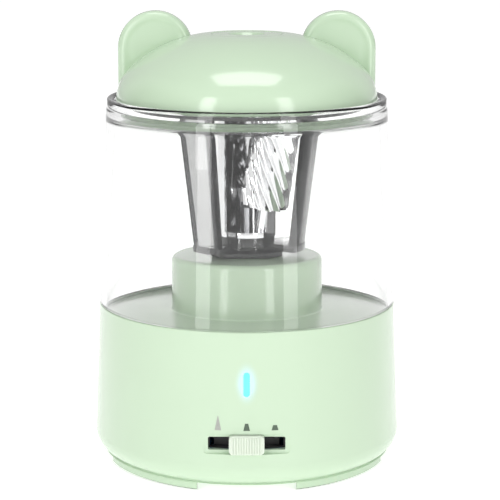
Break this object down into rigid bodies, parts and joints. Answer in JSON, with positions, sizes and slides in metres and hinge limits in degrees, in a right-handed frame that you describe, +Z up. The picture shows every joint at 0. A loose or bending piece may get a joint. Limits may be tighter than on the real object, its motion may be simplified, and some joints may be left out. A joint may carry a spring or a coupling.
{
  "type": "electric pencil sharpener",
  "caption": "Round electric pencil sharpener with a clear shavings bin, a domed cap with two ears, a rotating helical cutter head and a three-step tip selector.",
  "frame": {"origin": "middle of the underside, on the surface that the feet rest on", "axes": "+Z up along the pencil hole, front with the selector and light facing -Y, +X to the right seen from the front"},
  "size_m": [0.084, 0.0853, 0.1219],
  "materials": {
    "mint_plastic": "glossy pale mint ABS",
    "clear_plastic": "thick clear acrylic, polished",
    "smoked_plastic": "smoked translucent polycarbonate",
    "black_plastic": "black glossy plastic",
    "dark_plastic": "dark matte plastic",
    "gear_plastic": "natural acetal",
    "tool_steel": "ground and polished tool steel",
    "steel": "bright steel",
    "screw_steel": "zinc-plated steel",
    "spring_steel": "spring wire",
    "bronze": "sintered bronze",
    "magnet": "ferrite magnet",
    "rubber": "soft rubber",
    "cell_wrap": "blue shrink-wrapped lithium cell",
    "circuit_board": "green circuit board",
    "port_metal": "stamped nickel-plated shell",
    "blue_light": "blue light, on"
  },
  "bodies": {
    "base": {"base_shell": "mint_plastic", "bottom_plate": "mint_plastic", "rubber_feet": "rubber", "plate_screws": "screw_steel", "deck_turret": "mint_plastic", "motor_can": "steel", "motor_magnets": "magnet", "motor_end_cap": "black_plastic", "motor_screws": "screw_steel", "gear_plate": "steel", "gear_plate_screws": "screw_steel", "idler_axle": "steel", "spindle_lower_bush": "bronze", "spindle_upper_bush": "bronze", "selector_track": "dark_plastic", "yoke_guide_posts": "steel", "battery_cell": "cell_wrap", "battery_holder": "dark_plastic", "led_lens": "blue_light", "control_board": "circuit_board", "indicator_light": "blue_light", "port_board": "circuit_board", "usb_port": "port_metal"},
    "motor_rotor": {"motor_rotor": "steel", "motor_pinion": "steel"},
    "idler": {"idler_gear": "gear_plastic"},
    "spindle": {"spindle": "steel", "output_gear": "gear_plastic", "drive_plate": "black_plastic"},
    "selector": {"selector_knob": "mint_plastic", "selector_slide": "dark_plastic"},
    "yoke": {"lift_yoke": "dark_plastic", "rod_retainer": "dark_plastic", "start_switch": "dark_plastic"},
    "tip_stop": {"tip_stop_rod": "steel", "stop_spring": "spring_steel"},
    "bin": {"shavings_bin": "clear_plastic"},
    "cap": {"cap_dome": "mint_plastic", "head_plate": "black_plastic", "head_screws": "screw_steel", "ring_gear": "gear_plastic", "ring_screws": "screw_steel", "guide_bush": "gear_plastic", "pencil_guide": "mint_plastic"},
    "carrier": {"carrier_head": "black_plastic", "guide_circlip": "steel", "axle_bridge": "black_plastic", "cutter_sleeve": "tool_steel", "carrier_hub": "black_plastic", "lower_block": "steel", "cutter_axle": "tool_steel", "guard_right": "smoked_plastic", "guard_left": "smoked_plastic"},
    "cutter": {"helical_cutter": "tool_steel", "cutter_pinion": "tool_steel"}
  },
  "joints": [
    {"name": "bin_lift", "type": "slide", "parent": "base", "child": "bin", "axis": [0, 0, 1], "range_m": [0, 0.045]},
    {"name": "cap_lift", "type": "slide", "parent": "bin", "child": "cap", "axis": [0, 0, 1], "range_m": [0, 0.045]},
    {"name": "carrier_spin", "type": "hinge", "parent": "cap", "child": "carrier", "pos_m": [0, 0, 0.08], "axis": [0, 0, 1], "continuous": true},
    {"name": "cutter_spin", "type": "hinge", "parent": "carrier", "child": "cutter", "pos_m": [0, 0, 0.0393], "axis": [0.1457, -0.1312, 0.9806], "continuous": true},
    {"name": "spindle_spin", "type": "hinge", "parent": "base", "child": "spindle", "pos_m": [0, 0, 0.045], "axis": [0, 0, 1], "continuous": true},
    {"name": "idler_spin", "type": "hinge", "parent": "base", "child": "idler", "pos_m": [0.00844, 0.01092, 0.036], "axis": [0, 0, 1], "continuous": true},
    {"name": "motor_spin", "type": "hinge", "parent": "base", "child": "motor_rotor", "pos_m": [0, 0.0158, 0.02], "axis": [0, 0, 1], "continuous": true},
    {"name": "selector_slide", "type": "slide", "parent": "base", "child": "selector", "axis": [1, 0, 0], "range_m": [-0.0063, 0.0063]},
    {"name": "yoke_lift", "type": "slide", "parent": "base", "child": "yoke", "axis": [0, 0, 1], "range_m": [-0.0012, 0.0012]},
    {"name": "stop_press", "type": "slide", "parent": "yoke", "child": "tip_stop", "axis": [0, 0, 1], "range_m": [-0.001, 0], "stiffness_N_per_m": 300, "springref_m": 0.0005, "deforming": ["stop_spring"]}
  ],
  "couplings": [
    {"joint": "cutter_spin", "follows": "carrier_spin", "ratio": -3.5},
    {"joint": "spindle_spin", "follows": "carrier_spin", "ratio": 1},
    {"joint": "idler_spin", "follows": "carrier_spin", "ratio": -3.6},
    {"joint": "motor_spin", "follows": "carrier_spin", "ratio": 12},
    {"joint": "yoke_lift", "follows": "selector_slide", "ratio": 0.19048}
  ]
}
